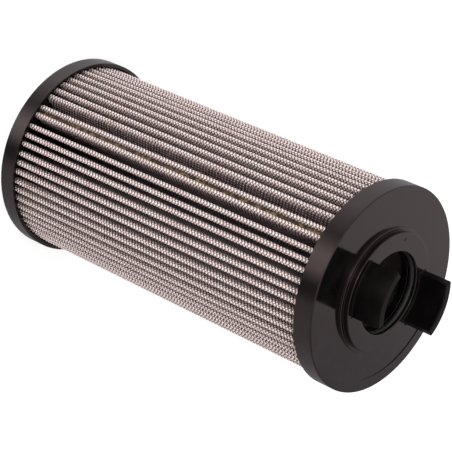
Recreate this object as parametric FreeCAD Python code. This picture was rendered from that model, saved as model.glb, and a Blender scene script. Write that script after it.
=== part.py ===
"""Hydraulic return filter element: a pleated pack of wire cloth and glass fibre round a windowed
core, potted into a closed and an open moulded end cap. Millimetres, standing on the closed cap:
the origin is the middle of that cap's flat face, +Z runs to the open cap and +X through one lug.
"""
import FreeCAD, Part
import math
import os

Vector = FreeCAD.Vector
AXIS = Vector(0, 0, 1)

# End caps
element_length = 163.0       # face to face over the two caps, without boss and lugs
cap_radius = 40.0
open_skirt = 8.1             # how far each cap reaches over the pack, plate included
closed_skirt = 7.4
cap_plate = 2.5
skirt_wall = 1.4
edge_break = 0.45

# Boss, bore and seal of the open cap
boss_radius = 23.3
boss_height = 3.0
boss_break = 0.3
step_radius = 24.5
step_height = 0.8
bore_radius = 15.9
mouth_break = 0.4
collar_reach = 1.6           # the collar below the plate, which centres the core
seal_section = 2.6
seal_facets = 8
seal_proud = 0.2             # how far the seal stands into the bore
seal_depth = 2.7             # boss face to the middle of the seal
groove_clearance = 0.1
groove_side_play = 0.2

# Lugs on the boss
lug_radius = 21.1
lug_thickness = 3.2
lug_height = 12.0
lug_span = 61.0
lug_break = 0.5
lug_count = 2

# Small moulded features
panel_radius = 35.4          # the sunk panel's outer wall
panel_width = 5.2
panel_depth = 0.3
panel_middle = 129.7
panel_span = 60.0
gate_radius = 0.6
gate_depth = 0.3
gate_seat_radius = 20.4
gate_angle = -83.8

# Windowed core
core_radius = 18.7
core_wall = 1.2
collar_clearance = 0.2
closed_collar_wall = 2.0
window_rows = 4
windows_round = 6
core_end_band = 9.0          # the plain band at each end, and the rings and ribs between windows
core_ring = 5.0
core_rib = 5.5

# Adhesive
potting_depth = 2.0
potting_clearance = 0.05
bead_top_radius = 36.0
bead_depth = 3.2
bead_sag = 0.35
bead_clearance = 0.03

# Pleat pack
pleat_count = 59
pack_radius = 38.0
fold_clearance = 0.045       # from each leg to the middle of the gap at the inner folds
outer_cloth = 0.38
media = 0.26
inner_cloth = 0.26
crest_facets = 4             # chords round a crest of the pack's outer face
layer_facets = 2             # of the faces between the layers
inside_facets = 1            # and of the inside
core_gap = 0.4               # inner folds to the core
seam_angle = -22.85
seam_gap = 5.5               # degrees between the two crests at the side seam
gap_after_seam = 7.9
gap_before_seam = 8.8
crest_waver = 0.25           # degrees by which the crests stand out of their even pitch
waver_step = 2.3

same_place = 1e-6            # points nearer than this are one

# Places along the axis
open_plate_inside = element_length - cap_plate
open_rim = element_length - open_skirt
boss_face = element_length + boss_height
pack_bottom = cap_plate + potting_depth
pack_top = open_plate_inside - potting_depth
core_inner_radius = core_radius - core_wall
collar_radius = core_inner_radius - collar_clearance
skirt_inner_radius = cap_radius - skirt_wall
pack_thickness = outer_cloth + media + inner_cloth
root_radius = core_radius + core_gap + pack_thickness
leg_half_width = math.pi * root_radius / pleat_count - fold_clearance   # half of a pleat's two legs


def polar(radius, degrees, z=0.0):
    angle = math.radians(degrees)
    return Vector(radius * math.cos(angle), radius * math.sin(angle), z)


def turned(profile):
    """A solid turned from a closed outline of (radius, z) points."""
    points = [Vector(radius, 0, z) for radius, z in profile]
    outline = Part.makePolygon(points + points[:1])
    return Part.Face(outline).revolve(Vector(0, 0, 0), AXIS, 360)


def sector(inner, outer, low, high, middle, span):
    """A ring's sector: radii, heights, the angle of its middle and the angle it spans."""
    first = middle - span / 2.0
    face = Part.Face(Part.makePolygon([
        Vector(inner, 0, low),
        Vector(outer, 0, low),
        Vector(outer, 0, high),
        Vector(inner, 0, high),
        Vector(inner, 0, low),
    ]))
    face.rotate(Vector(0, 0, 0), AXIS, first)
    return face.revolve(Vector(0, 0, 0), AXIS, span)


def end_edges(solid, radius, z):
    """The curved edges about the axis at one radius and height."""
    found = []
    for edge in solid.Edges:
        curve = edge.Curve
        if isinstance(curve, Part.Circle):
            miss = abs(curve.Radius - radius) + (curve.Center - Vector(0, 0, z)).Length
            if miss < same_place:
                found.append(edge)
    return found


def cup(face_z, plate_z, rim_z):
    """A cap's plate and skirt, with the outer edge of its face broken."""
    shoulder = face_z + math.copysign(edge_break, rim_z - face_z)
    return turned([
        (0.0, face_z),
        (cap_radius - edge_break, face_z),
        (cap_radius, shoulder),
        (cap_radius, rim_z),
        (skirt_inner_radius, rim_z),
        (skirt_inner_radius, plate_z),
        (0.0, plate_z),
    ])


def collar(plate_z, reach, inner_radius):
    """The short ring on a plate's inner face that the core slides over."""
    return turned([
        (inner_radius, plate_z),
        (collar_radius, plate_z),
        (collar_radius, plate_z + reach),
        (inner_radius, plate_z + reach),
    ])


def lug(middle):
    """One of the curved lugs on the boss, with the long edges of its end broken."""
    top = boss_face + lug_height
    inner_radius = lug_radius - lug_thickness
    body = sector(inner_radius, lug_radius, boss_face, top, middle, lug_span)
    edges = end_edges(body, lug_radius, top) + end_edges(body, inner_radius, top)
    return body.makeChamfer(lug_break, edges)


def open_end_cap():
    """The moulded cap with the boss, the bore and its seal groove, and the two lugs."""
    cap = cup(element_length, open_plate_inside, open_rim)
    boss = turned([
        (0.0, open_plate_inside),
        (step_radius, open_plate_inside),
        (step_radius, element_length + step_height),
        (boss_radius, element_length + step_height),
        (boss_radius, boss_face - boss_break),
        (boss_radius - boss_break, boss_face),
        (0.0, boss_face),
    ])
    cap = cap.fuse([boss, collar(open_plate_inside, -collar_reach, bore_radius)])
    groove_radius = bore_radius - seal_proud + seal_section + groove_clearance
    seal_z = boss_face - seal_depth
    groove_half = seal_section / 2.0 + groove_side_play
    collar_end = open_plate_inside - collar_reach
    bore = turned([
        (0.0, collar_end),
        (bore_radius, collar_end),
        (bore_radius, seal_z - groove_half),
        (groove_radius, seal_z - groove_half),
        (groove_radius, seal_z + groove_half),
        (bore_radius, seal_z + groove_half),
        (bore_radius, boss_face - mouth_break),
        (bore_radius + mouth_break, boss_face),
        (0.0, boss_face),
    ])
    panel = sector(
        panel_radius - panel_width, panel_radius,
        element_length - panel_depth, element_length,
        panel_middle, panel_span,
    )
    gate = Part.makeCylinder(
        gate_radius, gate_depth, polar(gate_seat_radius, gate_angle, boss_face - gate_depth), AXIS
    )
    cap = cap.cut([bore, panel, gate])
    lugs = [lug(360.0 * index / lug_count) for index in range(lug_count)]
    return cap.fuse(lugs).removeSplitter()


def closed_end_cap():
    """The moulded cap that closes the element, with a collar inside the core."""
    cap = cup(0.0, cap_plate, closed_skirt)
    ring = collar(cap_plate, collar_reach, collar_radius - closed_collar_wall)
    return cap.fuse(ring).removeSplitter()


def bore_seal():
    """The round-section ring in the bore's groove, at the size it has with the spigot in."""
    half = seal_section / 2.0
    middle = bore_radius - seal_proud + half
    height = boss_face - seal_depth
    section = []
    for step in range(seal_facets):
        turn = 2.0 * math.pi * step / seal_facets
        section.append((middle + half * math.cos(turn), height + half * math.sin(turn)))
    return turned(section)


def support_core():
    """The moulded tube that the pleats bear on: end bands, rings and ribs round open windows."""
    length = open_plate_inside - cap_plate
    foot = Vector(0, 0, cap_plate)
    tube = Part.makeCylinder(core_radius, length, foot, AXIS)
    tube = tube.cut(Part.makeCylinder(core_inner_radius, length, foot, AXIS))
    open_length = length - 2.0 * core_end_band - (window_rows - 1) * core_ring
    window = open_length / window_rows
    span = 360.0 / windows_round - math.degrees(core_rib / core_radius)
    windows = []
    for row in range(window_rows):
        low = cap_plate + core_end_band + row * (window + core_ring)
        for place in range(windows_round):
            middle = 360.0 * place / windows_round
            windows.append(sector(
                core_inner_radius - core_wall, core_radius + core_wall,
                low, low + window, middle, span,
            ))
    return tube.cut(Part.makeCompound(windows))


def potting(low, high):
    """The ring of cured adhesive that holds the ends of the pack in a cap."""
    inner = core_radius + potting_clearance
    outer = skirt_inner_radius - potting_clearance
    return turned([(inner, low), (outer, low), (outer, high), (inner, high)])


def crest_angles():
    """Where each crest points, counted from the side seam, which lies in a narrow valley."""
    first = seam_angle + seam_gap / 2.0
    last = seam_angle + 360.0 - seam_gap / 2.0
    second = first + gap_after_seam
    second_last = last - gap_before_seam
    pitch = (second_last - second) / (pleat_count - 3)
    angles = [first]
    for step in range(pleat_count - 2):
        waver = crest_waver * math.sin(waver_step * step)
        angles.append(second + pitch * step + waver)
    angles.append(last)
    return angles


class Pleat:
    """One pleat's centre line, from its root between its neighbours to its leaning crest."""

    def __init__(self, index, crest_angle):
        root_angle = seam_angle + (index + 0.5) * 360.0 / pleat_count
        self.centre = polar(pack_radius - leg_half_width, crest_angle)
        self.along = (self.centre - polar(root_radius, root_angle)).normalize()
        self.across = AXIS.cross(self.along)

    def on_flank(self, side, offset, radius):
        """The point of a line beside the centre line, side -1 or 1, at one radius."""
        start = self.centre + self.across * (side * offset)
        reach = start.dot(self.along)
        drop = reach - math.sqrt(reach ** 2 - start.dot(start) + radius ** 2)
        return start - self.along * drop

    def crest(self, offset, facets):
        """The points of the rounded fold, in equal chords from one flank to the other."""
        points = []
        for step in range(facets + 1):
            turn = math.pi * (step / facets - 0.5)
            away = self.along * math.cos(turn) + self.across * math.sin(turn)
            points.append(self.centre + away * offset)
        return points


pleats = [Pleat(index, angle) for index, angle in enumerate(crest_angles())]


def pleated_outline(depth, facets):
    """The folded line all round, at one depth below the pack's outer face."""
    offset = leg_half_width - depth
    root = root_radius - depth
    points = []
    for pleat in pleats:
        points.append(pleat.on_flank(-1, offset, root))
        points.extend(pleat.crest(offset, facets))
        points.append(pleat.on_flank(1, offset, root))
    outline = Part.makePolygon(points + points[:1])
    outline.translate(Vector(0, 0, pack_bottom))
    return outline


def pleated_layer(outer_depth, inner_depth, outer_facets, inner_facets):
    """One layer of the pack, between two depths, the whole length of the element."""
    outlines = [pleated_outline(outer_depth, outer_facets), pleated_outline(inner_depth, inner_facets)]
    face = Part.makeFace(outlines, "Part::FaceMakerBullseye")
    return face.extrude(Vector(0, 0, pack_top - pack_bottom)).Solids[0]


def seam_bead():
    """The adhesive that closes the pack's side seam, down in the valley between two crests."""
    above = pleats[0]
    below = pleats[-1]
    offset = leg_half_width + bead_clearance
    low = bead_top_radius - bead_depth
    corners = [
        below.on_flank(1, offset, low),
        below.on_flank(1, offset, bead_top_radius),
        above.on_flank(-1, offset, bead_top_radius),
        above.on_flank(-1, offset, low),
    ]
    dip = (corners[1] + corners[2]) * 0.5
    dip = dip - polar(bead_sag, seam_angle)
    outline = Part.Wire([
        Part.makeLine(corners[0], corners[1]),
        Part.Arc(corners[1], dip, corners[2]).toShape(),
        Part.makeLine(corners[2], corners[3]),
        Part.makeLine(corners[3], corners[0]),
    ])
    outline.translate(Vector(0, 0, pack_bottom))
    return Part.Face(outline).extrude(Vector(0, 0, pack_top - pack_bottom))


cloth_depth = outer_cloth
media_depth = outer_cloth + media

nodes = {
    "open_end_cap": open_end_cap(),
    "closed_end_cap": closed_end_cap(),
    "bore_seal": bore_seal(),
    "support_core": support_core(),
    "outer_wire_cloth": pleated_layer(0.0, cloth_depth, crest_facets, layer_facets),
    "glass_fibre_media": pleated_layer(cloth_depth, media_depth, layer_facets, layer_facets),
    "inner_wire_cloth": pleated_layer(media_depth, pack_thickness, layer_facets, inside_facets),
    "seam_bead": seam_bead(),
    "closed_end_potting": potting(cap_plate, pack_bottom),
    "open_end_potting": potting(pack_top, open_plate_inside),
}

os.makedirs("parts", exist_ok=True)
for name, shape in nodes.items():
    shape.exportStep("parts/" + name + ".step")
    print(name, shape.isValid(), len(shape.Solids), round(shape.Volume, 1))
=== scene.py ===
"""Looks of a pleated hydraulic filter element: woven wire cloth, mouldings, seal, adhesive and studio.

Metres throughout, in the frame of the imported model: the element stands on its closed cap, with
+Z along its axis to the open cap and +X through one lug.
"""

import logging
import math
from collections.abc import Callable, Iterable, Sequence
from dataclasses import dataclass, field
from enum import Enum
from typing import NamedTuple

import bpy
import numpy as np
from mathutils import Matrix, Vector, noise


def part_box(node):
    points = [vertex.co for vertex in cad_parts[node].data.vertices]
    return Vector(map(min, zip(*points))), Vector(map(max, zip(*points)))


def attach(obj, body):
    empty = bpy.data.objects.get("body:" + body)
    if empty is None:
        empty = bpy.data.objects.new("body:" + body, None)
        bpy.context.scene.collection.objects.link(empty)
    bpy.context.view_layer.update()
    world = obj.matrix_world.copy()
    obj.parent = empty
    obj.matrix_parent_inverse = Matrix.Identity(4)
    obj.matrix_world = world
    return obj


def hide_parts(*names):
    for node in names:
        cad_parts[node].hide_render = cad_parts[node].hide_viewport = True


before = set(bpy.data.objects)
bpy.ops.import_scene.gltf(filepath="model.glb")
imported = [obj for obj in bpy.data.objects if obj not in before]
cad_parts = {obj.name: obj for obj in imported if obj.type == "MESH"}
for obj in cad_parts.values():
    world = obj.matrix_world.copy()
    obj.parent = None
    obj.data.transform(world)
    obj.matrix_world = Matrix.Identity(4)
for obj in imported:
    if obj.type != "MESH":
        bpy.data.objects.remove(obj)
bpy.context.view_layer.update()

log = logging.getLogger("filter_element")
MM = 0.001
ROOT = "root"
LIFT = "lift"
OPEN = "open"
WHITE = (1.0, 1.0, 1.0)
UP = Vector((0.0, 0.0, 1.0))
HALF_TURN = np.array((-1.0, -1.0, 1.0))

Colour = tuple[float, float, float]
Range = tuple[float, float]
Profile = list[Range]
Faces = list[tuple[int, ...]]
Mesh = tuple[np.ndarray, Faces]
MarkedMesh = tuple[np.ndarray, Faces, np.ndarray]
Output = bpy.types.NodeSocket
Input = Output | float | Colour


class Slot(Enum):
    """The record's material slots, named for the new pieces but not set on them."""

    CAP = "cap_plastic"
    SEAL = "seal_rubber"
    WIRE = "wire_cloth"
    ADHESIVE = "adhesive"


class Socket(Enum):
    """The kinds of socket that the node groups have."""

    VALUE = "NodeSocketFloat"
    VECTOR = "NodeSocketVector"


def add_object(name: str, data: bpy.types.ID) -> bpy.types.Object:
    """Makes an object of a mesh, a camera or a lamp and links it into the scene.

    Args:
        name: The object's name.
        data: What it shows.

    Returns:
        The object.
    """
    made = bpy.data.objects.new(name, data)
    bpy.context.scene.collection.objects.link(made)
    return made


def add_piece(
    name: str, points: np.ndarray, faces: Faces, marks: np.ndarray | None = None
) -> bpy.types.Object:
    """Makes a smooth-shaded mesh object.

    Args:
        name: The piece's name.
        points: Corner points, three numbers each.
        faces: Corner numbers of each face, seen anticlockwise from outside.
        marks: Two numbers from 0 to 1 for each corner: how far it stands up out of the weave, and
            how openly it lies on its crest.

    Returns:
        The object, linked into the scene.
    """
    mesh = bpy.data.meshes.new(name)
    mesh.from_pydata(points.tolist(), [], faces)
    mesh.polygons.foreach_set("use_smooth", np.ones(len(mesh.polygons), dtype=bool))
    if marks is not None:
        for column, mark in enumerate((LIFT, OPEN)):
            mesh.attributes.new(mark, "FLOAT", "POINT").data.foreach_set("value", marks[:, column])
    mesh.update()
    return add_object(mesh.name, mesh)


def rounded(corners: Sequence[tuple[float, float, float]], steps: int, hold: float) -> Profile:
    """Rounds the corners of a closed outline.

    Args:
        corners: Two coordinates and a rounding radius for each corner.
        steps: Chords in each rounded corner.
        hold: Distance of the extra point that keeps the flat beside an arc flat.

    Returns:
        The outline's points in the same order.
    """
    outline: Profile = []
    for index, (x, y, radius) in enumerate(corners):
        here = np.array((x, y))
        if radius <= 0.0:
            outline.append((x, y))
            continue
        before = np.array(corners[index - 1][:2]) - here
        after = np.array(corners[(index + 1) % len(corners)][:2]) - here
        before /= np.linalg.norm(before)
        after /= np.linalg.norm(after)
        half = math.acos(max(-1.0, min(1.0, float(before @ after)))) / 2.0
        run = radius / math.tan(half)
        centre = here + (before + after) / np.linalg.norm(before + after) * radius / math.sin(half)
        start = here + before * run - centre
        end = here + after * run - centre
        turn = math.pi - 2.0 * half
        outline.append(tuple(centre + start + before * hold))
        for step in range(steps + 1):
            share = step / steps
            arm = start * math.sin((1.0 - share) * turn) + end * math.sin(share * turn)
            outline.append(tuple(centre + arm / math.sin(turn)))
        outline.append(tuple(centre + end + after * hold))
    return outline


def quads(near: np.ndarray, ahead: np.ndarray) -> Faces:
    """The four-sided faces of a grid of corner numbers and the same grid moved on by one."""
    grid = np.stack([near[:, :-1], ahead[:, :-1], ahead[:, 1:], near[:, 1:]], axis=-1)
    return [tuple(quad) for quad in grid.reshape(-1, 4).tolist()]


def lathe(profile: Profile, turns: np.ndarray) -> Mesh:
    """Turns a profile about the axis.

    Args:
        profile: Radius and height pairs, anticlockwise round the material. A profile that starts
            and ends on the axis is closed there by a point.
        turns: The angles of the columns, in radians.

    Returns:
        The points and the faces.
    """
    on_axis = profile[0][0] == 0.0
    ring = np.array(profile[1:-1] if on_axis else profile)
    points = np.empty((len(turns), len(ring), 3))
    points[..., 0] = np.cos(turns)[:, None] * ring[:, 0]
    points[..., 1] = np.sin(turns)[:, None] * ring[:, 0]
    points[..., 2] = ring[:, 1]
    number = np.arange(points.size // 3).reshape(points.shape[:2])
    if not on_axis:
        number = np.hstack([number, number[:, :1]])
    ahead = np.roll(number, -1, axis=0)
    faces = quads(number, ahead)
    points = points.reshape(-1, 3)
    if on_axis:
        foot, head = len(points), len(points) + 1
        points = np.vstack([points, (0.0, 0.0, profile[0][1]), (0.0, 0.0, profile[-1][1])])
        for here, there in zip(number.tolist(), ahead.tolist()):
            faces += [(foot, there[0], here[0]), (here[-1], there[-1], head)]
    return points, faces


def even_turns(count: int) -> np.ndarray:
    """Evenly spaced angles round the axis."""
    return np.linspace(0.0, 2.0 * math.pi, count, endpoint=False)


def tubes(corners: np.ndarray) -> Mesh:
    """Closed tubes through rings of corners.

    Args:
        corners: The corners, shaped tubes by rings by corners by three, anticlockwise as seen by
            one who looks back along the tube.

    Returns:
        The points and the faces.
    """
    number = np.arange(corners.size // 3).reshape(corners.shape[:3])
    ends = [*number[:, 0, ::-1].tolist(), *number[:, -1].tolist()]
    faces = quads(number, np.roll(number, -1, axis=2)) + [tuple(end) for end in ends]
    return corners.reshape(-1, 3), faces


def join(parts: Iterable[MarkedMesh]) -> MarkedMesh:
    """Joins marked meshes into one.

    Args:
        parts: Points, faces and marks of each.

    Returns:
        The points, the faces and the marks of all of them.
    """
    clouds, faces, marks, first = [], [], [], 0
    for points, own_faces, own_marks in parts:
        clouds.append(points)
        faces += [tuple(first + corner for corner in face) for face in own_faces]
        marks.append(own_marks)
        first += len(points)
    return np.vstack(clouds), faces, np.vstack(marks)


def direction(heading: float, elevation: float) -> Vector:
    """The unit direction at a bearing and an elevation, both in radians."""
    level = math.cos(elevation)
    return Vector((level * math.cos(heading), level * math.sin(heading), math.sin(elevation)))


class Pattern(NamedTuple):
    """A noise pattern: its scale per metre, its detail and the values that its mask runs between."""

    scale: float
    detail: float
    reach: Range = (0.0, 1.0)


class MixSocket:
    """Where the sockets for colours are among a Mix node's sockets."""

    SHARE = 0
    FIRST = 6
    SECOND = 7
    RESULT = 2


class Nodes:
    """A node tree with short calls that place and link its nodes."""

    def __init__(self, tree: bpy.types.NodeTree) -> None:
        """Takes the tree to build in."""
        self.tree = tree

    @classmethod
    def of(cls, owner: bpy.types.Material | bpy.types.World) -> "Nodes":
        """Empties the node tree of a material or a world to build in it.

        Args:
            owner: The material or the world.

        Returns:
            Its nodes.
        """
        owner.use_nodes = True
        owner.node_tree.nodes.clear()
        return cls(owner.node_tree)

    def add(self, kind: str, inputs: dict | None = None, **settings: object) -> bpy.types.Node:
        """Places a node.

        Args:
            kind: The node's type name.
            inputs: Values or sockets for its inputs, by name or number.
            settings: Properties of the node itself.

        Returns:
            The new node.
        """
        node = self.tree.nodes.new(kind)
        for name, value in settings.items():
            setattr(node, name, value)
        for key, value in (inputs or {}).items():
            if isinstance(value, bpy.types.NodeSocket):
                self.tree.links.new(value, node.inputs[key])
            else:
                node.inputs[key].default_value = value
        return node

    def math(self, operation: str, *values: Input) -> Output:
        """A Math node's result."""
        return self.add("ShaderNodeMath", dict(enumerate(values)), operation=operation).outputs[0]

    def ramp(self, value: Input, low: float, high: float, start: float = 0.0, end: float = 1.0) -> Output:
        """A value taken smoothly from the range low to high over to the range start to end."""
        sockets = {0: value, 1: low, 2: high, 3: start, 4: end}
        return self.add("ShaderNodeMapRange", sockets, interpolation_type="SMOOTHSTEP").outputs[0]

    def mix(self, share: Input, first: Input, second: Input) -> Output:
        """Two colours mixed.

        Args:
            share: The second colour's share.
            first, second: The colours or their sockets.

        Returns:
            The mixed colour.
        """
        sockets = {MixSocket.SHARE: share}
        for place, colour in ((MixSocket.FIRST, first), (MixSocket.SECOND, second)):
            sockets[place] = (*colour, 1.0) if isinstance(colour, tuple) else colour
        return self.add("ShaderNodeMix", sockets, data_type="RGBA").outputs[MixSocket.RESULT]

    def noise(self, place: Output, pattern: Pattern) -> Output:
        """A noise value at a place."""
        sockets = {"Vector": place, "Scale": pattern.scale, "Detail": pattern.detail}
        return self.add("ShaderNodeTexNoise", sockets).outputs[0]

    def bump(self, height: Output, depth: float) -> Output:
        """A normal from a height, given the depth that a height of one stands for."""
        return self.add("ShaderNodeBump", {"Height": height, "Distance": depth}).outputs[0]

    def place(self) -> Output:
        """The point on the piece, in metres."""
        return self.add("ShaderNodeTexCoord").outputs["Object"]

    def parts(self, vector: Output) -> list[Output]:
        """The x, y and z of a vector."""
        return list(self.add("ShaderNodeSeparateXYZ", {0: vector}).outputs)


@dataclass(frozen=True)
class SharedEffect:
    """A shader node group that takes a place and named values and puts out values, built once."""

    name: str
    inputs: dict[str, float]
    outputs: tuple[str, ...]
    build: Callable[[Nodes, dict[str, Output]], dict[str, Output]]

    def tree(self) -> bpy.types.NodeTree:
        """Gives the group's tree, built the first time that it is asked for.

        Returns:
            The shader node tree.
        """
        if self.name in bpy.data.node_groups:
            return bpy.data.node_groups[self.name]
        tree = bpy.data.node_groups.new(self.name, "ShaderNodeTree")
        tree.interface.new_socket("Place", in_out="INPUT", socket_type=Socket.VECTOR.value)
        for name, value in self.inputs.items():
            socket = tree.interface.new_socket(name, in_out="INPUT", socket_type=Socket.VALUE.value)
            socket.default_value = value
        for name in self.outputs:
            tree.interface.new_socket(name, in_out="OUTPUT", socket_type=Socket.VALUE.value)
        nodes = Nodes(tree)
        inside = nodes.add("NodeGroupInput")
        given = {name: inside.outputs[name] for name in ("Place", *self.inputs)}
        nodes.add("NodeGroupOutput", self.build(nodes, given))
        return tree

    def use(self, nodes: Nodes, **values: Input) -> bpy.types.Node:
        """Places the group in a material, with values or sockets for its inputs."""
        return nodes.add("ShaderNodeGroup", values, node_tree=self.tree())


GRAIN = Pattern(2600.0, 3.0)
WAVES = Pattern(45.0, 1.0)
DULL_PATCHES = Pattern(130.0, 3.0, (0.42, 0.72))
KNUCKLES: Range = (0.25, 0.95)


def build_moulded(nodes: Nodes, given: dict[str, Output]) -> dict[str, Output]:
    """Moulded surface: slow waves, fine grain and dull patches.

    Args:
        nodes: The group's nodes.
        given: Its inputs by name.

    Returns:
        Its outputs by name.
    """
    grain = nodes.math("MULTIPLY", nodes.noise(given["Place"], GRAIN), given["Grain"])
    waves = nodes.math("MULTIPLY", nodes.noise(given["Place"], WAVES), given["Wave"])
    dull = nodes.ramp(nodes.noise(given["Place"], DULL_PATCHES), *DULL_PATCHES.reach)
    return {"Height": nodes.math("ADD", grain, waves), "Dull": dull}


def build_weave(nodes: Nodes, given: dict[str, Output]) -> dict[str, Output]:
    """Plain weave over a pleat's flanks, by the distance from the axis and along it.

    Args:
        nodes: The group's nodes.
        given: Its inputs by name.

    Returns:
        Its outputs by name.
    """
    x, y, z = nodes.parts(given["Place"])
    radius = nodes.math("SQRT", nodes.math("ADD", nodes.math("MULTIPLY", x, x), nodes.math("MULTIPLY", y, y)))
    rows = nodes.math("DIVIDE", radius, given["Row pitch"])
    rings = nodes.math("DIVIDE", z, given["Ring pitch"])
    waves = [nodes.math("COSINE", nodes.math("MULTIPLY", count, math.pi)) for count in (rows, rings)]
    crossing = nodes.math("MULTIPLY", *waves)
    return {"Height": crossing, "Knuckle": nodes.ramp(crossing, *KNUCKLES)}


MOULDED = SharedEffect("moulded_surface", {"Grain": 0.5, "Wave": 1.0}, ("Height", "Dull"), build_moulded)
WEAVE = SharedEffect(
    "plain_weave", {"Row pitch": 0.6 * MM, "Ring pitch": 0.757 * MM}, ("Height", "Knuckle"), build_weave
)


@dataclass(frozen=True)
class Finish:
    """A procedural material, made from its own fields by paint()."""

    name: str

    def material(self) -> bpy.types.Material:
        """Gives the material, built the first time that it is asked for.

        Returns:
            The material.
        """
        if self.name in bpy.data.materials:
            return bpy.data.materials[self.name]
        made = bpy.data.materials.new(self.name)
        nodes = Nodes.of(made)
        shader = nodes.add("ShaderNodeBsdfPrincipled", self.paint(nodes))
        nodes.add("ShaderNodeOutputMaterial", {"Surface": shader.outputs[0]})
        return made

    def paint(self, nodes: Nodes) -> dict[str, Input]:
        """Gives what the shader's inputs get, by name; each finish has its own."""
        raise NotImplementedError

    def dress(self, piece: bpy.types.Object) -> None:
        """Puts the finish on a piece, in place of any material that it has."""
        piece.data.materials.clear()
        piece.data.materials.append(self.material())


def seat(piece: bpy.types.Object, finish: Finish, slot: Slot, *nodes: str) -> None:
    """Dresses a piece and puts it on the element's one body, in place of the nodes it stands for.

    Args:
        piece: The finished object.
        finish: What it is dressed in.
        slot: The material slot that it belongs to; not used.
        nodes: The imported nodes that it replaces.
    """
    finish.dress(piece)
    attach(piece, ROOT)
    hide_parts(*nodes)
    log.info("%s: %d faces in %s", piece.name, len(piece.data.polygons), finish.name)


@dataclass(frozen=True)
class MouldedFinish(Finish):
    """A moulded surface with a faint relief and duller patches."""

    colour: Colour
    dull_colour: Colour
    roughness: float
    dull_roughness: float
    relief: float
    grain: float
    wave: float
    specular: float = 0.5
    sheen_tint: Colour = WHITE

    def paint(self, nodes: Nodes) -> dict[str, Input]:
        """Paints the dull patches and the relief.

        Args:
            nodes: The material's nodes.

        Returns:
            What the shader's inputs get, by name.
        """
        surface = MOULDED.use(nodes, Place=nodes.place(), Grain=self.grain, Wave=self.wave)
        dull = surface.outputs["Dull"]
        return {
            "Base Color": nodes.mix(dull, self.colour, self.dull_colour),
            "Roughness": nodes.ramp(dull, 0.0, 1.0, self.roughness, self.dull_roughness),
            "Normal": nodes.bump(surface.outputs["Height"], self.relief),
            "Specular IOR Level": self.specular,
            "Specular Tint": (*self.sheen_tint, 1.0),
        }


@dataclass(frozen=True)
class CapPlastic(MouldedFinish):
    """Black moulded plastic with a satin gloss."""

    name: str = "black_cap_plastic"
    colour: Colour = (0.0018, 0.0014, 0.0015)
    dull_colour: Colour = (0.0032, 0.0026, 0.0028)
    roughness: float = 0.11
    dull_roughness: float = 0.17
    relief: float = 0.0035 * MM
    grain: float = 0.35
    wave: float = 6.0
    sheen_tint: Colour = (1.0, 0.80, 0.73)


@dataclass(frozen=True)
class SealRubber(MouldedFinish):
    """Black rubber, smooth, with a little bloom."""

    name: str = "black_seal_rubber"
    colour: Colour = (0.0045, 0.0040, 0.0040)
    dull_colour: Colour = (0.0120, 0.0105, 0.0105)
    roughness: float = 0.48
    dull_roughness: float = 0.6
    relief: float = 0.006 * MM
    grain: float = 1.0
    wave: float = 0.0


@dataclass(frozen=True)
class CorePlastic(MouldedFinish):
    """Dark brown moulded plastic, with a slight film of oil."""

    name: str = "brown_core_plastic"
    colour: Colour = (0.014, 0.010, 0.009)
    dull_colour: Colour = (0.024, 0.016, 0.013)
    roughness: float = 0.42
    dull_roughness: float = 0.5
    relief: float = 0.02 * MM
    grain: float = 0.5
    wave: float = 2.0


@dataclass(frozen=True)
class BrightWire(Finish):
    """Bright drawn steel wire, a little tarnished in places, with painted shade where it dips and down the
    legs.
    """

    name: str = "bright_steel_wire"
    colour: Colour = (0.812, 0.709, 0.682)
    tarnish: Colour = (0.619, 0.521, 0.497)
    # Painted shade: crossing darkens the dips on the crest, shaded the beads down the legs, deep the dips
    # down the legs.
    crossing: Colour = (0.325, 0.241, 0.226)
    shaded: Colour = (0.670, 0.555, 0.528)
    deep: Colour = (0.072, 0.047, 0.043)
    knuckle: Range = (0.66, 0.93)
    metal: float = 0.35
    roughness: Range = (0.29, 0.42)
    stain: Pattern = Pattern(160.0, 4.0, (0.48, 0.78))
    drawn: Pattern = Pattern(3200.0, 2.0, (0.3, 0.7))

    def paint(self, nodes: Nodes) -> dict[str, Input]:
        """Paints the wire, with painted shade by how far it stands out of the weave and how openly it lies.

        Args:
            nodes: The material's nodes.

        Returns:
            What the shader's inputs get, by name.
        """
        place = nodes.place()
        stain = nodes.ramp(nodes.noise(place, self.stain), *self.stain.reach)
        drawn = nodes.noise(place, self.drawn)
        lift, openness = (
            nodes.add("ShaderNodeAttribute", attribute_name=name).outputs["Fac"] for name in (LIFT, OPEN)
        )
        bright = nodes.mix(openness, self.shaded, nodes.mix(stain, self.colour, self.tarnish))
        # Painted shade: the dips' colour, darker down the legs than on the crest.
        dip_shade = nodes.mix(openness, self.deep, self.crossing)
        return {
            "Base Color": nodes.mix(nodes.ramp(lift, *self.knuckle), dip_shade, bright),
            "Roughness": nodes.ramp(drawn, *self.drawn.reach, *self.roughness),
            "Metallic": self.metal,
        }


@dataclass(frozen=True)
class FlankWeave(Finish):
    """The same cloth deep in the folds, where its weave is relief and colour in a thin sheet, with painted
    shade.
    """

    name: str = "flank_wire_weave"
    # Painted shade: the wire colour is dimmer than the crest wires' and the gaps are near black, for the
    # shade deep in the folds.
    colour: Colour = (0.36, 0.30, 0.29)
    gap_shade: Colour = (0.028, 0.017, 0.016)
    bare_metal: Range = (0.1, 0.6)
    roughness: float = 0.38
    relief: float = 0.12 * MM

    def paint(self, nodes: Nodes) -> dict[str, Input]:
        """Paints the weave, with painted shade in its gaps.

        Args:
            nodes: The material's nodes.

        Returns:
            What the shader's inputs get, by name.
        """
        weave = WEAVE.use(nodes, Place=nodes.place())
        knuckle = weave.outputs["Knuckle"]
        return {
            "Base Color": nodes.mix(knuckle, self.gap_shade, self.colour),
            "Metallic": nodes.ramp(knuckle, *self.bare_metal),
            "Roughness": self.roughness,
            "Normal": nodes.bump(weave.outputs["Height"], self.relief),
        }


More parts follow.
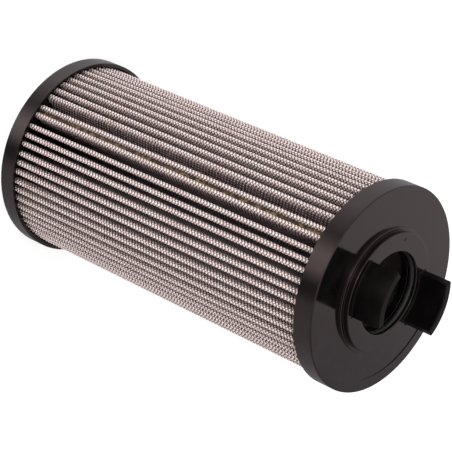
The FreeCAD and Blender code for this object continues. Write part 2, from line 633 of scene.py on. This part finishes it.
@dataclass(frozen=True)
class PatchyFinish(Finish):
    """Patches of one colour on another, over a lumpy relief."""

    colour: Colour
    patch_colour: Colour
    patches: Pattern
    lumps: Pattern
    roughness: float
    relief: float
    specular: float = 0.5

    def paint(self, nodes: Nodes) -> dict[str, Input]:
        """Paints the patches and the lumps.

        Args:
            nodes: The material's nodes.

        Returns:
            What the shader's inputs get, by name.
        """
        place = nodes.place()
        patches = nodes.ramp(nodes.noise(place, self.patches), *self.patches.reach)
        return {
            "Base Color": nodes.mix(patches, self.colour, self.patch_colour),
            "Roughness": self.roughness,
            "Specular IOR Level": self.specular,
            "Normal": nodes.bump(nodes.noise(place, self.lumps), self.relief),
        }


@dataclass(frozen=True)
class FibreFelt(PatchyFinish):
    """Glass fibre felt under its fleece, painted dark grey for the shade it lies in under the wire cloth."""

    name: str = "glass_fibre_felt"
    colour: Colour = (0.070, 0.044, 0.041)
    patch_colour: Colour = (0.140, 0.100, 0.095)
    patches: Pattern = Pattern(1800.0, 4.0, (0.4, 0.65))
    lumps: Pattern = Pattern(1800.0, 4.0)
    roughness: float = 0.85
    relief: float = 0.05 * MM


@dataclass(frozen=True)
class CuredAdhesive(PatchyFinish):
    """Yellow-brown adhesive, glossy, with cloudy patches."""

    name: str = "yellow_brown_adhesive"
    colour: Colour = (0.042, 0.026, 0.015)
    patch_colour: Colour = (0.175, 0.124, 0.052)
    patches: Pattern = Pattern(420.0, 5.0, (0.44, 0.64))
    lumps: Pattern = Pattern(700.0, 3.0)
    roughness: float = 0.24
    relief: float = 0.10 * MM
    specular: float = 0.22


@dataclass
class PleatPack:
    """The folds' layout: where each crest points and how each leg runs to its root."""

    count: int = 59
    crest_radius: float = 38.0 * MM
    root_radius: float = 20.0 * MM
    fold_clearance: float = 0.045 * MM
    seam_angle: float = math.radians(-22.85)
    seam_gap: float = math.radians(5.5)
    gap_after_seam: float = math.radians(7.9)
    gap_before_seam: float = math.radians(8.8)
    waver: float = math.radians(0.25)
    waver_step: float = 2.3
    low: float = field(init=False)
    high: float = field(init=False)
    half_width: float = field(init=False)
    centres: np.ndarray = field(init=False)
    along: np.ndarray = field(init=False)
    across: np.ndarray = field(init=False)

    def __post_init__(self) -> None:
        """Works out the crest centres and the directions of the pleats."""
        lowest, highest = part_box("outer_wire_cloth")
        self.low, self.high = lowest.z, highest.z
        self.half_width = math.pi * self.root_radius / self.count - self.fold_clearance
        crests = self.crest_angles()
        roots = self.seam_angle + (np.arange(self.count) + 0.5) * 2.0 * math.pi / self.count
        ring = self.crest_radius - self.half_width
        self.centres = ring * np.stack([np.cos(crests), np.sin(crests)], axis=1)
        feet = self.root_radius * np.stack([np.cos(roots), np.sin(roots)], axis=1)
        self.along = self.centres - feet
        self.along /= np.linalg.norm(self.along, axis=1)[:, None]
        self.across = np.stack([-self.along[:, 1], self.along[:, 0]], axis=1)

    def crest_angles(self) -> np.ndarray:
        """Where each crest points, counted from the side seam.

        Returns:
            The angles in radians, one for each pleat.
        """
        first = self.seam_angle + self.seam_gap / 2.0
        last = self.seam_angle + 2.0 * math.pi - self.seam_gap / 2.0
        second = first + self.gap_after_seam
        pitch = (last - self.gap_before_seam - second) / (self.count - 3)
        steps = np.arange(self.count - 2)
        middle = second + pitch * steps + self.waver * np.sin(self.waver_step * steps)
        return np.concatenate([[first], middle, [last]])

    def fold(self, pleat: int, depth: float, places: np.ndarray) -> tuple[np.ndarray, np.ndarray]:
        """Points along one pleat at a depth under its outer face.

        Args:
            pleat: The pleat's number.
            depth: Distance under the outer face.
            places: Lengths along the fold from the crest's middle, negative on the first leg.

        Returns:
            The points and the outward directions, two numbers each.
        """
        radius = self.half_width - depth
        quarter = radius * math.pi / 2.0
        angle = np.clip(places, -quarter, quarter) / radius
        drop = np.maximum(np.abs(places) - quarter, 0.0)
        along, across = self.along[pleat], self.across[pleat]
        outward = np.cos(angle)[..., None] * along + np.sin(angle)[..., None] * across
        return self.centres[pleat] + outward * radius - drop[..., None] * along, outward

    def flank(self, pleat: int, side: int, depth: float, radius: float) -> np.ndarray:
        """The point of one leg at a distance from the axis.

        Args:
            pleat: The pleat's number.
            side: -1 for the leg before the crest, 1 for the one after it.
            depth: Distance under the leg's outer face.
            radius: Distance from the axis.

        Returns:
            The point, two numbers.
        """
        start = self.centres[pleat] + self.across[pleat] * side * (self.half_width - depth)
        reach = float(start @ self.along[pleat])
        drop = reach - math.sqrt(reach**2 - float(start @ start) + radius**2)
        return start - self.along[pleat] * drop


@dataclass
class WireCloth:
    """The outer wire cloth: ring wires crimped over straight rods on the crests, and thin woven
    sheets down the legs behind them. Lengths along a ring wire are in row pitches."""

    pack: PleatPack
    ring_pitch: float = 0.757 * MM
    row_pitch: float = 0.84 * MM
    bead_half_width: float = 0.53 * MM
    bead_half_length: float = 0.28
    crest_bead_half_length: float = 0.44
    crest_bead_end: float = 0.42 * MM
    leg_bead_half_width: float = 0.46 * MM
    leg_bead_half_length: float = 0.40
    leg_bead_foot: float = 0.85
    leg_ring_height: float = 0.15 * MM
    leg_crimp: float = 0.12 * MM
    dip_half_width: float = 0.11 * MM
    ring_height: float = 0.18 * MM
    rod_radius: float = 0.14 * MM
    rod_depth: float = 0.36 * MM
    crimp: float = 0.17 * MM
    rows_each_side: int = 3
    rows_beside_gap: int = 6
    leg_spacing: int = 2
    stray: float = 0.20
    stray_step: float = 3.7
    drift: float = 0.30
    drift_step: float = 1.9
    cross_drift: float = 0.6
    cross_drift_step: float = 5.3
    cross_drift_start: float = 1.0
    open_falloff: float = 0.9
    sectors: int = 5
    sheet_front: float = 0.20 * MM
    sheet_back: float = 0.36 * MM
    ring_section: tuple[Range, ...] = ((1.0, 0.0), (-0.5, -1.0), (-0.5, 1.0))
    rod_section: tuple[Range, ...] = ((1.0, 0.0), (0.0, 1.0), (-1.0, 0.0), (0.0, -1.0))
    wire: BrightWire = BrightWire()
    weave: FlankWeave = FlankWeave()

    def reach(self, pleat: int, side: int) -> int:
        """How many rods lie on one side of a pleat's crest before the woven sheet takes over.

        Args:
            pleat: The pleat's number.
            side: -1 for the leg before the crest, 1 for the one after it.

        Returns:
            The number of rods.
        """
        last = self.pack.count - 1
        wide = {(1, -1), (last, -1), (0, 1), (last - 1, 1)}
        return self.rows_beside_gap if (pleat, side) in wide else self.rows_each_side

    def rows(self, pleat: int) -> np.ndarray:
        """The numbers of the rods on a pleat, counted from the one that the crest is folded over."""
        return np.arange(-self.reach(pleat, -1), self.reach(pleat, 1) + 1)

    def place(self, row: int) -> int:
        """Where a rod lies, in row pitches from the crest: those down a wide leg lie further apart."""
        beyond = max(abs(row) - self.rows_each_side, 0)
        return row + int(math.copysign(beyond * (self.leg_spacing - 1), row))

    def wave(self, parity: int, pleat: int) -> np.ndarray:
        """One ring wire's way over and under the rods of a pleat.

        Args:
            parity: 0 for a wire that passes over the crest's rod, 1 for one that passes under it.
            pleat: The pleat's number.

        Returns:
            A row for each point: its place in row pitches, lift, level, height and half width.
        """
        steps = []
        for row in self.rows(pleat):
            at = self.place(row)
            down = abs(row) > self.rows_each_side
            level, tall = (self.leg_crimp, self.leg_ring_height) if down else (self.crimp, self.ring_height)
            dip = (0.0, -level, tall, self.dip_half_width)
            if (row + parity) % 2:
                steps.append((at, *dip))
            elif down:
                bead = (1.0, level, tall, self.leg_bead_half_width)
                half, foot = self.leg_bead_half_length, self.leg_bead_foot
                steps += [(at - foot, *dip), (at - half, *bead), (at + half, *bead), (at + foot, *dip)]
            elif row:
                bead, half = (1.0, level, tall, self.bead_half_width), self.bead_half_length
                steps += [(at - half, *bead), (at + half, *bead)]
            else:
                end, half = (1.0, level, tall, self.crest_bead_end), self.crest_bead_half_length
                steps += [(at - half, *end), (at, 1.0, level, tall, self.bead_half_width), (at + half, *end)]
        return np.array(sorted(steps))

    def shift(self, pleat: int, heights: np.ndarray) -> np.ndarray:
        """How far the rods have strayed round the crest, as no fold follows them exactly.

        Args:
            pleat: The pleat's number.
            heights: Heights above the floor.

        Returns:
            The distance at each height, in rows.
        """
        share = (heights - self.pack.low) / (self.pack.high - self.pack.low) - 0.5
        cross = math.sin(self.cross_drift_step * pleat + self.cross_drift_start)
        turn = math.sin(self.drift_step * pleat) + self.cross_drift * cross
        return self.stray * math.sin(self.stray_step * pleat) + self.drift * turn * share

    def ring_wires(self, pleat: int) -> MarkedMesh:
        """The ring wires over one pleat, each a closed tube from leg to leg.

        Args:
            pleat: The pleat's number.

        Returns:
            The points, the faces and the points' marks.
        """
        rings = np.arange(int((self.pack.high - self.pack.low) / self.ring_pitch))
        heights = self.pack.low + (rings + 0.5) * self.ring_pitch
        halves = []
        for parity in (0, 1):
            at, over, level, tall, width = self.wave(parity, pleat).T
            own = heights[parity::2, None]
            places = at + self.shift(pleat, own)
            points, outward = self.pack.fold(pleat, self.rod_depth, places * self.row_pitch)
            raised = points + outward * level[:, None]
            corners = np.empty((*places.shape, len(self.ring_section), 3))
            for corner, (out, side) in enumerate(self.ring_section):
                corners[..., corner, :2] = raised + outward * (out * tall)[:, None]
                corners[..., corner, 2] = own + side * width
            lift = np.broadcast_to(over, places.shape)
            halves.append((*tubes(corners), self.marks(lift, outward, pleat, len(self.ring_section))))
        return join(halves)

    def rods(self, pleat: int) -> MarkedMesh:
        """The straight rods under one pleat's ring wires.

        Args:
            pleat: The pleat's number.

        Returns:
            The points, the faces and the points' marks.
        """
        ends = np.array((self.pack.low, self.pack.high))
        at = np.array([[self.place(row)] for row in self.rows(pleat)])
        places = (at + self.shift(pleat, ends)) * self.row_pitch
        points, outward = self.pack.fold(pleat, self.rod_depth, places)
        beside = np.stack([-outward[..., 1], outward[..., 0]], axis=-1)
        corners = np.empty((len(at), 2, len(self.rod_section), 3))
        corners[..., 2] = ends[:, None]
        for corner, (out, side) in enumerate(self.rod_section):
            corners[..., corner, :2] = points + (outward * out + beside * side) * self.rod_radius
        # Rods get no lift, so their finish paints them in the dips' painted shade.
        lift = np.zeros(outward.shape[:2])
        return *tubes(corners), self.marks(lift, outward, pleat, len(self.rod_section))

    def marks(self, over: np.ndarray, outward: np.ndarray, pleat: int, corners: int) -> np.ndarray:
        """Marks the points of a pleat's wires for the painted shade in their finish.

        Args:
            over: Whether each point passes over a rod.
            outward: The cloth's outward direction at each point.
            pleat: The pleat's number.
            corners: Corners in the wires' section.

        Returns:
            Two numbers for each corner: lift and openness.
        """
        facing = np.maximum(outward @ self.pack.along[pleat], 0.0) ** self.open_falloff
        return np.repeat(np.stack([over, facing], axis=-1).reshape(-1, 2), corners, axis=0).astype(float)

    def valley_sheet(self, pleat: int) -> MarkedMesh:
        """The thin woven sheet between one pleat's crest and the next, round the root.

        Args:
            pleat: The pleat before the valley.

        Returns:
            The points, the faces and the points' marks.
        """
        after = (pleat + 1) % self.pack.count
        bend = math.pi / 2.0 * (self.pack.half_width - self.rod_depth)
        tops = []
        for owner, side in ((pleat, 1), (after, -1)):
            run = self.place(self.reach(owner, side)) * self.row_pitch - bend
            tops.append(self.pack.crest_radius - self.pack.half_width - run)
        outline = []
        for depth, order in ((self.sheet_front, 1), (self.sheet_back, -1)):
            root = self.pack.root_radius - depth
            ways = ((pleat, 1, tops[0]), (pleat, 1, root), (after, -1, root), (after, -1, tops[1]))
            outline += [self.pack.flank(owner, side, depth, radius) for owner, side, radius in ways][::order]
        corners = np.empty((1, 2, len(outline), 3))
        corners[..., :2] = outline
        corners[..., 2] = np.array((self.pack.low, self.pack.high))[:, None]
        return *tubes(corners), np.zeros((corners.size // 3, 2))

    def piece(self, name: str, parts: Iterable[MarkedMesh], finish: Finish) -> None:
        """Joins what several pleats give into one piece and dresses it."""
        seat(add_piece(name, *join(parts)), finish, Slot.WIRE, "outer_wire_cloth")

    def build(self) -> None:
        """Builds the ring wires in sectors, the rods and the woven sheets."""
        everyone = range(self.pack.count)
        for sector, pleats in enumerate(np.array_split(everyone, self.sectors)):
            self.piece(f"ring_wires_{sector}", map(self.ring_wires, pleats.tolist()), self.wire)
        self.piece("cloth_rods", map(self.rods, everyone), self.wire)
        self.piece("cloth_flanks", map(self.valley_sheet, everyone), self.weave)


@dataclass
class SeamBead:
    """The adhesive in the narrow valley where the two ends of the pack are joined."""

    pack: PleatPack
    top: float = 36.0 * MM
    depth: float = 3.2 * MM
    clearance: float = 0.03 * MM
    sag: float = 0.35 * MM
    lumps: float = 0.22 * MM
    ripple_across: float = 1.3
    ripple_length: float = 1.7 * MM
    columns: int = 9
    rows: int = 320
    finish: CuredAdhesive = CuredAdhesive()

    def build(self) -> None:
        """Builds the bead with an uneven top and dresses it."""
        before, after = self.pack.count - 1, 0
        sides = [(before, 1), (after, -1)]
        low = [self.pack.flank(p, s, -self.clearance, self.top - self.depth) for p, s in sides]
        high = [self.pack.flank(p, s, -self.clearance, self.top) for p, s in sides]
        outward = np.array((math.cos(self.pack.seam_angle), math.sin(self.pack.seam_angle)))
        heights = np.linspace(self.pack.low, self.pack.high, self.rows)
        points = np.empty((self.rows, self.columns + 2, 3))
        points[:, 0, :2], points[:, 1, :2] = low[1], low[0]
        points[..., 2] = heights[:, None]
        for column, share in enumerate(np.linspace(0.0, 1.0, self.columns), 2):
            flat = high[0] * (1.0 - share) + high[1] * share
            # The sag is a parabola, deepest midway between the two legs.
            dip = self.sag * 4.0 * share * (1.0 - share)
            for row, z in enumerate(heights):
                place = Vector((share * self.ripple_across, z / self.ripple_length, 0.0))
                points[row, column, :2] = flat + outward * min(noise.noise(place) * self.lumps - dip, 0.0)
        seat(add_piece("seam_adhesive", *tubes(points[None])), self.finish, Slot.ADHESIVE, "seam_bead")


@dataclass
class EndCap:
    """What both moulded end caps share."""

    radius: float = field(init=False)
    skirt_wall: float = 1.4 * MM
    plate: float = 2.5 * MM
    edge: float = 0.5 * MM
    collar_radius: float = 17.3 * MM
    collar_reach: float = 1.6 * MM
    soft_edge: float = 0.12 * MM
    columns: int = 240
    arc_steps: int = 5
    hold: float = 0.06 * MM
    finish: CapPlastic = CapPlastic()

    def __post_init__(self) -> None:
        """Takes the caps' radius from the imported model."""
        self.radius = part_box("closed_end_cap")[1].x


@dataclass
class ClosedCap(EndCap):
    """The cap that the element stands on."""

    collar_wall: float = 2.0 * MM

    def build(self) -> None:
        """Turns the cap and dresses it."""
        lowest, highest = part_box("closed_end_cap")
        face, rim = lowest.z, highest.z
        inside = face + self.plate
        inner = self.radius - self.skirt_wall
        soft = self.soft_edge
        top, hollow = inside + self.collar_reach, self.collar_radius - self.collar_wall
        corners = [
            (0.0, face, 0.0),
            (self.radius, face, self.edge),
            (self.radius, rim, soft),
            (inner, rim, soft),
            (inner, inside, soft),
            (self.collar_radius, inside, soft),
            (self.collar_radius, top, soft),
            (hollow, top, soft),
            (hollow, inside, soft),
            (0.0, inside, 0.0),
        ]
        profile = rounded(corners, self.arc_steps, self.hold)
        piece = add_piece("closed_cap_moulding", *lathe(profile, even_turns(self.columns)))
        seat(piece, self.finish, Slot.CAP, "closed_end_cap")


@dataclass
class OpenCap(EndCap):
    """The cap with the stepped boss, the bore with its groove, the sunk panel and the two lugs."""

    bore_radius: float = 15.9 * MM
    mouth: float = 0.4 * MM
    boss_radius: float = 23.3 * MM
    boss_height: float = 3.0 * MM
    boss_edge: float = 0.35 * MM
    step_radius: float = 24.5 * MM
    step_height: float = 0.8 * MM
    step_edge: float = 0.35 * MM
    groove_radius: float = 18.4 * MM
    groove_half: float = 1.5 * MM
    seal_depth: float = 2.7 * MM
    lug_height: float = 12.0 * MM
    lug_radius: float = 21.1 * MM
    lug_thickness: float = 3.2 * MM
    lug_half_span: float = math.radians(30.5)
    lug_edge: float = 0.5 * MM
    lug_foot: float = 0.5 * MM
    lug_corner: float = 0.3 * MM
    lug_sunk: float = 0.1 * MM
    lug_columns: int = 28
    panel_radius: float = 35.4 * MM
    panel_width: float = 5.2 * MM
    panel_depth: float = 0.3 * MM
    panel_wall: float = 0.06 * MM
    panel_shares: tuple[float, ...] = (-1.0, 0.0, 0.15, 0.85, 1.0, 2.0)
    panel_middle: float = math.radians(129.7)
    panel_half_span: float = math.radians(30.0)
    gate_radius: float = 0.6 * MM
    gate_depth: float = 0.3 * MM
    gate_seat: float = 20.4 * MM
    gate_angle: float = math.radians(276.2)
    gate_rows: int = 14
    gate_reach: float = 1.3
    gate_wall: float = 0.2
    lug_finish: CapPlastic = CapPlastic(
        "matt_lug_plastic", specular=0.09, roughness=0.30, dull_roughness=0.36
    )
    boss_face: float = field(init=False)
    face: float = field(init=False)

    def __post_init__(self) -> None:
        """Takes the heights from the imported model."""
        super().__post_init__()
        self.boss_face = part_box("open_end_cap")[1].z - self.lug_height
        self.face = self.boss_face - self.boss_height

    def gate_shares(self) -> np.ndarray:
        """Where the rows and columns round the gate mark lie, in its radii from its middle."""
        return np.linspace(-self.gate_reach, self.gate_reach, self.gate_rows)

    def profile(self) -> Profile:
        """The body's section, anticlockwise from the foot of the bore.

        Returns:
            Radius and height pairs.
        """
        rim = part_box("open_end_cap")[0].z
        inside = self.face - self.plate
        inner = self.radius - self.skirt_wall
        seal_z = self.boss_face - self.seal_depth
        soft = self.soft_edge
        shares = self.gate_shares()
        panel_inner = self.panel_radius - self.panel_width
        panel_rows = [self.panel_radius - share * self.panel_wall for share in self.panel_shares]
        panel_rows += [panel_inner + share * self.panel_wall for share in reversed(self.panel_shares)]
        corners = [
            (self.bore_radius, inside - self.collar_reach, soft),
            (self.collar_radius, inside - self.collar_reach, soft),
            (self.collar_radius, inside, soft),
            (inner, inside, soft),
            (inner, rim, soft),
            (self.radius, rim, soft),
            (self.radius, self.face, self.edge),
            *((radius, self.face, 0.0) for radius in panel_rows),
            (self.step_radius, self.face, soft),
            (self.step_radius, self.face + self.step_height, self.step_edge),
            (self.boss_radius, self.face + self.step_height, soft),
            (self.boss_radius, self.boss_face, self.boss_edge),
            *((self.gate_seat - share * self.gate_radius, self.boss_face, 0.0) for share in shares),
            (self.bore_radius, self.boss_face, self.mouth),
            (self.bore_radius, seal_z + self.groove_half, soft),
            (self.groove_radius, seal_z + self.groove_half, soft),
            (self.groove_radius, seal_z - self.groove_half, soft),
            (self.bore_radius, seal_z - self.groove_half, soft),
        ]
        return rounded(corners, self.arc_steps, self.hold)

    def body(self) -> Mesh:
        """Turns the body and sinks the panel and the gate mark into its faces.

        Returns:
            The points and the faces.
        """
        step = self.panel_wall / self.panel_radius
        ends = (self.panel_middle - self.panel_half_span, self.panel_middle + self.panel_half_span)
        extra = [end + share * step for end in ends for share in (-1.0, 0.0, 1.0)]
        extra += [self.gate_angle + share * self.gate_radius / self.gate_seat for share in self.gate_shares()]
        turns = np.sort(np.concatenate([even_turns(self.columns), extra]))
        points, faces = lathe(self.profile(), turns)
        radius = np.hypot(points[:, 0], points[:, 1])
        angle = np.arctan2(points[:, 1], points[:, 0])
        inside_angle = (self.panel_half_span - np.abs(angle - self.panel_middle)) / step
        beyond = (radius - self.panel_radius + self.panel_width) / self.panel_wall
        within = (self.panel_radius - radius) / self.panel_wall
        share = np.clip(np.minimum(np.minimum(beyond, within), inside_angle), 0.0, 1.0)
        on_face = np.abs(points[:, 2] - self.face) < self.panel_wall
        points[on_face, 2] -= share[on_face] * self.panel_depth
        gate = self.gate_seat * np.array((math.cos(self.gate_angle), math.sin(self.gate_angle)))
        away = np.linalg.norm(points[:, :2] - gate, axis=1) / self.gate_radius
        share = np.clip((1.0 - away) / self.gate_wall + 0.5, 0.0, 1.0)
        on_boss = np.abs(points[:, 2] - self.boss_face) < self.panel_wall
        points[on_boss, 2] -= share[on_boss] * self.gate_depth
        return points, faces

    def lug_outline(self, grow: float) -> np.ndarray:
        """The outline at one height of the lug on +X.

        Args:
            grow: How far it stands out from the lug's plain walls, negative for in.

        Returns:
            Points anticlockwise, two numbers each.
        """
        inner = self.lug_radius - self.lug_thickness - grow
        outer = self.lug_radius + grow
        corners = []
        for radius, order in ((outer, 1), (inner, -1)):
            half = self.lug_half_span + grow / radius
            turns = np.linspace(-half, half, self.lug_columns)[::order]
            for place, turn in enumerate(turns):
                rounding = self.lug_corner if place in (0, self.lug_columns - 1) else 0.0
                corners.append((radius * math.cos(turn), radius * math.sin(turn), rounding))
        return np.array(rounded(corners, self.arc_steps, self.hold))

    def lugs(self) -> Mesh:
        """Both lugs, each with a filleted foot and rounded edges.

        Returns:
            The points and the faces.
        """
        foot, top = self.boss_face, self.boss_face + self.lug_height
        quarter = np.linspace(0.0, math.pi / 2.0, self.arc_steps + 1)
        flare, drop = self.lug_foot, self.lug_edge
        levels = [(foot - self.lug_sunk, flare)]
        levels += [(foot + flare * (1 - math.cos(t)), flare * (1 - math.sin(t))) for t in quarter]
        levels += [(foot + flare + self.hold, 0.0), (top - drop - self.hold, 0.0)]
        levels += [(top - drop * (1 - math.sin(t)), -drop * (1 - math.cos(t))) for t in quarter]
        levels += [(top, -drop - self.hold)]
        sections = []
        for z, grow in levels:
            outline = self.lug_outline(grow)
            sections.append(np.column_stack([outline, np.full(len(outline), z)]))
        near = np.array(sections)
        return tubes(np.stack([near, near * HALF_TURN]))

    def build(self) -> None:
        """Builds the cap's body and its lugs, which look matt."""
        seat(add_piece("open_cap_moulding", *self.body()), self.finish, Slot.CAP, "open_end_cap")
        seat(add_piece("open_cap_lugs", *self.lugs()), self.lug_finish, Slot.CAP, "open_end_cap")


@dataclass
class BoreSeal:
    """The round ring in the bore's groove."""

    section: float = 2.6 * MM
    section_steps: int = 28
    columns: int = 200
    finish: SealRubber = SealRubber()

    def build(self) -> None:
        """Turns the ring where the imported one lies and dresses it."""
        lowest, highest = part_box("bore_seal")
        half = self.section / 2.0
        middle = highest.x - half
        height = (lowest.z + highest.z) / 2.0
        turns = even_turns(self.section_steps)
        profile = [(middle + half * math.cos(t), height + half * math.sin(t)) for t in turns]
        piece = add_piece("bore_seal_ring", *lathe(profile, even_turns(self.columns)))
        seat(piece, self.finish, Slot.SEAL, "bore_seal")


@dataclass
class HiddenLayers:
    """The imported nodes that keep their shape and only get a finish."""

    core: Finish = CorePlastic()
    felt: Finish = FibreFelt()
    drainage: Finish = FlankWeave()
    potting: Finish = CuredAdhesive("dark_potting", (0.007, 0.005, 0.004), (0.016, 0.011, 0.008))

    def build(self) -> None:
        """Dresses the nodes."""
        finishes = {
            "support_core": self.core,
            "glass_fibre_media": self.felt,
            "inner_wire_cloth": self.drainage,
            "closed_end_potting": self.potting,
            "open_end_potting": self.potting,
        }
        for name, finish in finishes.items():
            finish.dress(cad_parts[name])
            log.info("%s: finish %s", name, finish.name)


@dataclass
class Viewpoint:
    """The camera, by the point that it looks at and the angles that it looks from."""

    target: Vector = field(default_factory=lambda: Vector((0.30, 2.05, 86.65)) * MM)
    distance: float = 745.1 * MM
    heading: float = math.radians(171.50)
    elevation: float = math.radians(36.675)
    roll: float = math.radians(114.29)
    lens: float = 154.10
    sensor: float = 36.0
    nearest: float = 0.01
    farthest: float = 20.0

    def axes(self) -> Matrix:
        """The camera's right, up and back directions as columns.

        Returns:
            A rotation matrix.
        """
        forward = direction(self.heading, -self.elevation)
        right = Matrix.Rotation(self.roll, 3, -forward) @ forward.cross(UP).normalized()
        return Matrix((right, right.cross(forward), -forward)).transposed()

    def build(self) -> None:
        """Places the camera and makes it the scene's."""
        data = bpy.data.cameras.new("viewpoint")
        data.lens, data.sensor_width = self.lens, self.sensor
        data.clip_start, data.clip_end = self.nearest, self.farthest
        axes = self.axes()
        camera = add_object("viewpoint", data)
        stand = self.target + axes.col[2] * self.distance
        camera.matrix_world = Matrix.LocRotScale(stand, axes.to_quaternion(), None)
        bpy.context.scene.camera = camera


@dataclass(frozen=True)
class Softbox:
    """A large soft lamp, by its direction from the element in degrees."""

    name: str
    heading: float
    elevation: float
    distance: float
    size: float
    watts: float

    def build(self, target: Vector) -> None:
        """Places the lamp so that it faces the target.

        Args:
            target: The point that it lights.
        """
        away = direction(math.radians(self.heading), math.radians(self.elevation))
        data = bpy.data.lights.new(self.name, "AREA")
        data.shape = "SQUARE"
        data.size, data.energy = self.size, self.watts
        lamp = add_object(self.name, data)
        lamp.location = target + away * self.distance
        lamp.rotation_euler = away.to_track_quat("Z", "Y").to_euler()
        lamp.visible_glossy = False


@dataclass
class Studio:
    """Floor, surroundings and lamps of a plain white studio.

    Each table of the surroundings gives bearings in degrees and the brightness there: ambient for
    the light that falls on the element, ground and sky for what gloss mirrors below and above.
    """

    half_floor: float = 4.0
    floor_colour: Colour = (0.93, 0.93, 0.93)
    plain_white: float = 0.55
    ambient: tuple[Range, ...] = (
        (-180, 0.75), (-120, 0.80), (-95, 1.10), (-60, 1.90), (-25, 1.25), (8, 1.15), (40, 1.90), (75, 1.90),
        (110, 1.20), (140, 0.80), (180, 0.75),
    )
    ground: tuple[Range, ...] = (
        (-180, 0.32), (-155, 0.48), (-139, 0.60), (-123, 0.77), (-98, 1.05), (-84, 1.22), (-66, 1.02),
        (-41, 0.49), (-32, 0.93), (-24, 1.50), (-16, 2.10), (-8, 1.85), (0, 1.62), (9, 0.66), (17, 0.17),
        (25, 0.21), (34, 0.45), (42, 0.67), (58, 0.65), (75, 0.57), (91, 0.50), (108, 0.43), (124, 0.37),
        (140, 0.30), (156, 0.22), (180, 0.32),
    )
    sky: tuple[Range, ...] = (
        (-180, 0.93), (-120, 1.00), (-61, 1.05), (-34, 1.00), (-24, 1.60), (-13, 2.30), (-3, 1.60), (8, 0.92),
        (30, 0.90), (90, 0.60), (118, 0.48), (160, 0.45), (169, 0.50), (174, 0.83), (180, 0.93),
    )
    horizon: float = 0.6
    horizon_reach: float = 0.45
    ground_to_sky: Range = (-0.45, 0.30)
    mirror_tint: Colour = (1.0, 0.94, 1.0)
    lamps: tuple[Softbox, ...] = (
        Softbox("key_softbox", heading=-58.0, elevation=35.0, distance=1.3, size=0.9, watts=9.5),
        Softbox("fill_softbox", heading=30.0, elevation=60.0, distance=1.4, size=1.0, watts=5.0),
    )

    def floor(self) -> None:
        """Lays the floor at the height that the element stands on."""
        half = self.half_floor
        corners = np.array([(-half, -half, 0.0), (half, -half, 0.0), (half, half, 0.0), (-half, half, 0.0)])
        floor = add_piece("studio_floor", corners, [(0, 1, 2, 3)])
        made = bpy.data.materials.new("studio_white")
        nodes = Nodes.of(made)
        path = nodes.add("ShaderNodeLightPath")
        lit = nodes.add("ShaderNodeBsdfDiffuse", {"Color": (*self.floor_colour, 1.0)})
        plain = nodes.add("ShaderNodeEmission", {"Strength": 1.0})
        share = nodes.math("MULTIPLY", path.outputs["Is Camera Ray"], self.plain_white)
        seen = nodes.add("ShaderNodeMixShader", {0: share, 1: lit.outputs[0], 2: plain.outputs[0]})
        nodes.add("ShaderNodeOutputMaterial", {"Surface": seen.outputs[0]})
        floor.data.materials.append(made)
        floor.visible_glossy = False

    @staticmethod
    def by_bearing(nodes: Nodes, screens: tuple[Range, ...]) -> Output:
        """How bright the surroundings are in a ray's direction, by its bearing.

        Args:
            nodes: The world's nodes.
            screens: Bearings in degrees, each with its brightness.

        Returns:
            The brightness there.
        """
        x, y, _ = nodes.parts(nodes.place())
        share = nodes.math("ADD", nodes.math("DIVIDE", nodes.math("ARCTAN2", y, x), 2.0 * math.pi), 0.5)
        ramp = nodes.add("ShaderNodeValToRGB", {0: share})
        ramp.color_ramp.interpolation = "LINEAR"
        stops = ramp.color_ramp.elements
        while len(stops) < len(screens):
            stops.new(0.5)
        for stop, (degrees, light) in zip(stops, screens):
            stop.position = degrees / 360.0 + 0.5
            stop.color = (light, light, light, 1.0)
        return ramp.outputs[0]

    def surroundings(self) -> None:
        """White surroundings, brighter for what is seen or mirrored than for what they light."""
        world = bpy.data.worlds.new("studio_surroundings")
        nodes = Nodes.of(world)
        path = nodes.add("ShaderNodeLightPath")
        seen = nodes.math("MAXIMUM", path.outputs["Is Camera Ray"], path.outputs["Is Transmission Ray"])
        tables = (self.ambient, self.ground, self.sky)
        ambient, low, high = (self.by_bearing(nodes, table) for table in tables)
        plain = nodes.mix(seen, ambient, WHITE)
        height = nodes.parts(nodes.place())[2]
        dip = nodes.ramp(nodes.math("ABSOLUTE", height), 0.0, self.horizon_reach, self.horizon, 1.0)
        screens = nodes.math("MULTIPLY", nodes.mix(nodes.ramp(height, *self.ground_to_sky), low, high), dip)
        glossy = path.outputs["Is Glossy Ray"]
        strength = nodes.math(
            "ADD",
            nodes.math("MULTIPLY", glossy, screens),
            nodes.math("MULTIPLY", nodes.math("SUBTRACT", 1.0, glossy), plain),
        )
        tint = nodes.mix(glossy, WHITE, self.mirror_tint)
        sky = nodes.add("ShaderNodeBackground", {"Color": tint, "Strength": strength})
        nodes.add("ShaderNodeOutputWorld", {"Surface": sky.outputs[0]})
        bpy.context.scene.world = world

    def build(self, target: Vector) -> None:
        """Builds the studio round the element.

        Args:
            target: The point that the lamps face.
        """
        self.floor()
        self.surroundings()
        for lamp in self.lamps:
            lamp.build(target)
        bpy.context.scene.view_settings.view_transform = "Standard"


def main() -> None:
    """Builds every piece, the studio and the camera."""
    logging.basicConfig(level=logging.INFO, format="%(message)s")
    viewpoint = Viewpoint()
    viewpoint.build()
    Studio().build(viewpoint.target)
    pack = PleatPack()
    ClosedCap().build()
    OpenCap().build()
    BoreSeal().build()
    WireCloth(pack).build()
    SeamBead(pack).build()
    HiddenLayers().build()


if __name__ == "__main__":
    main()
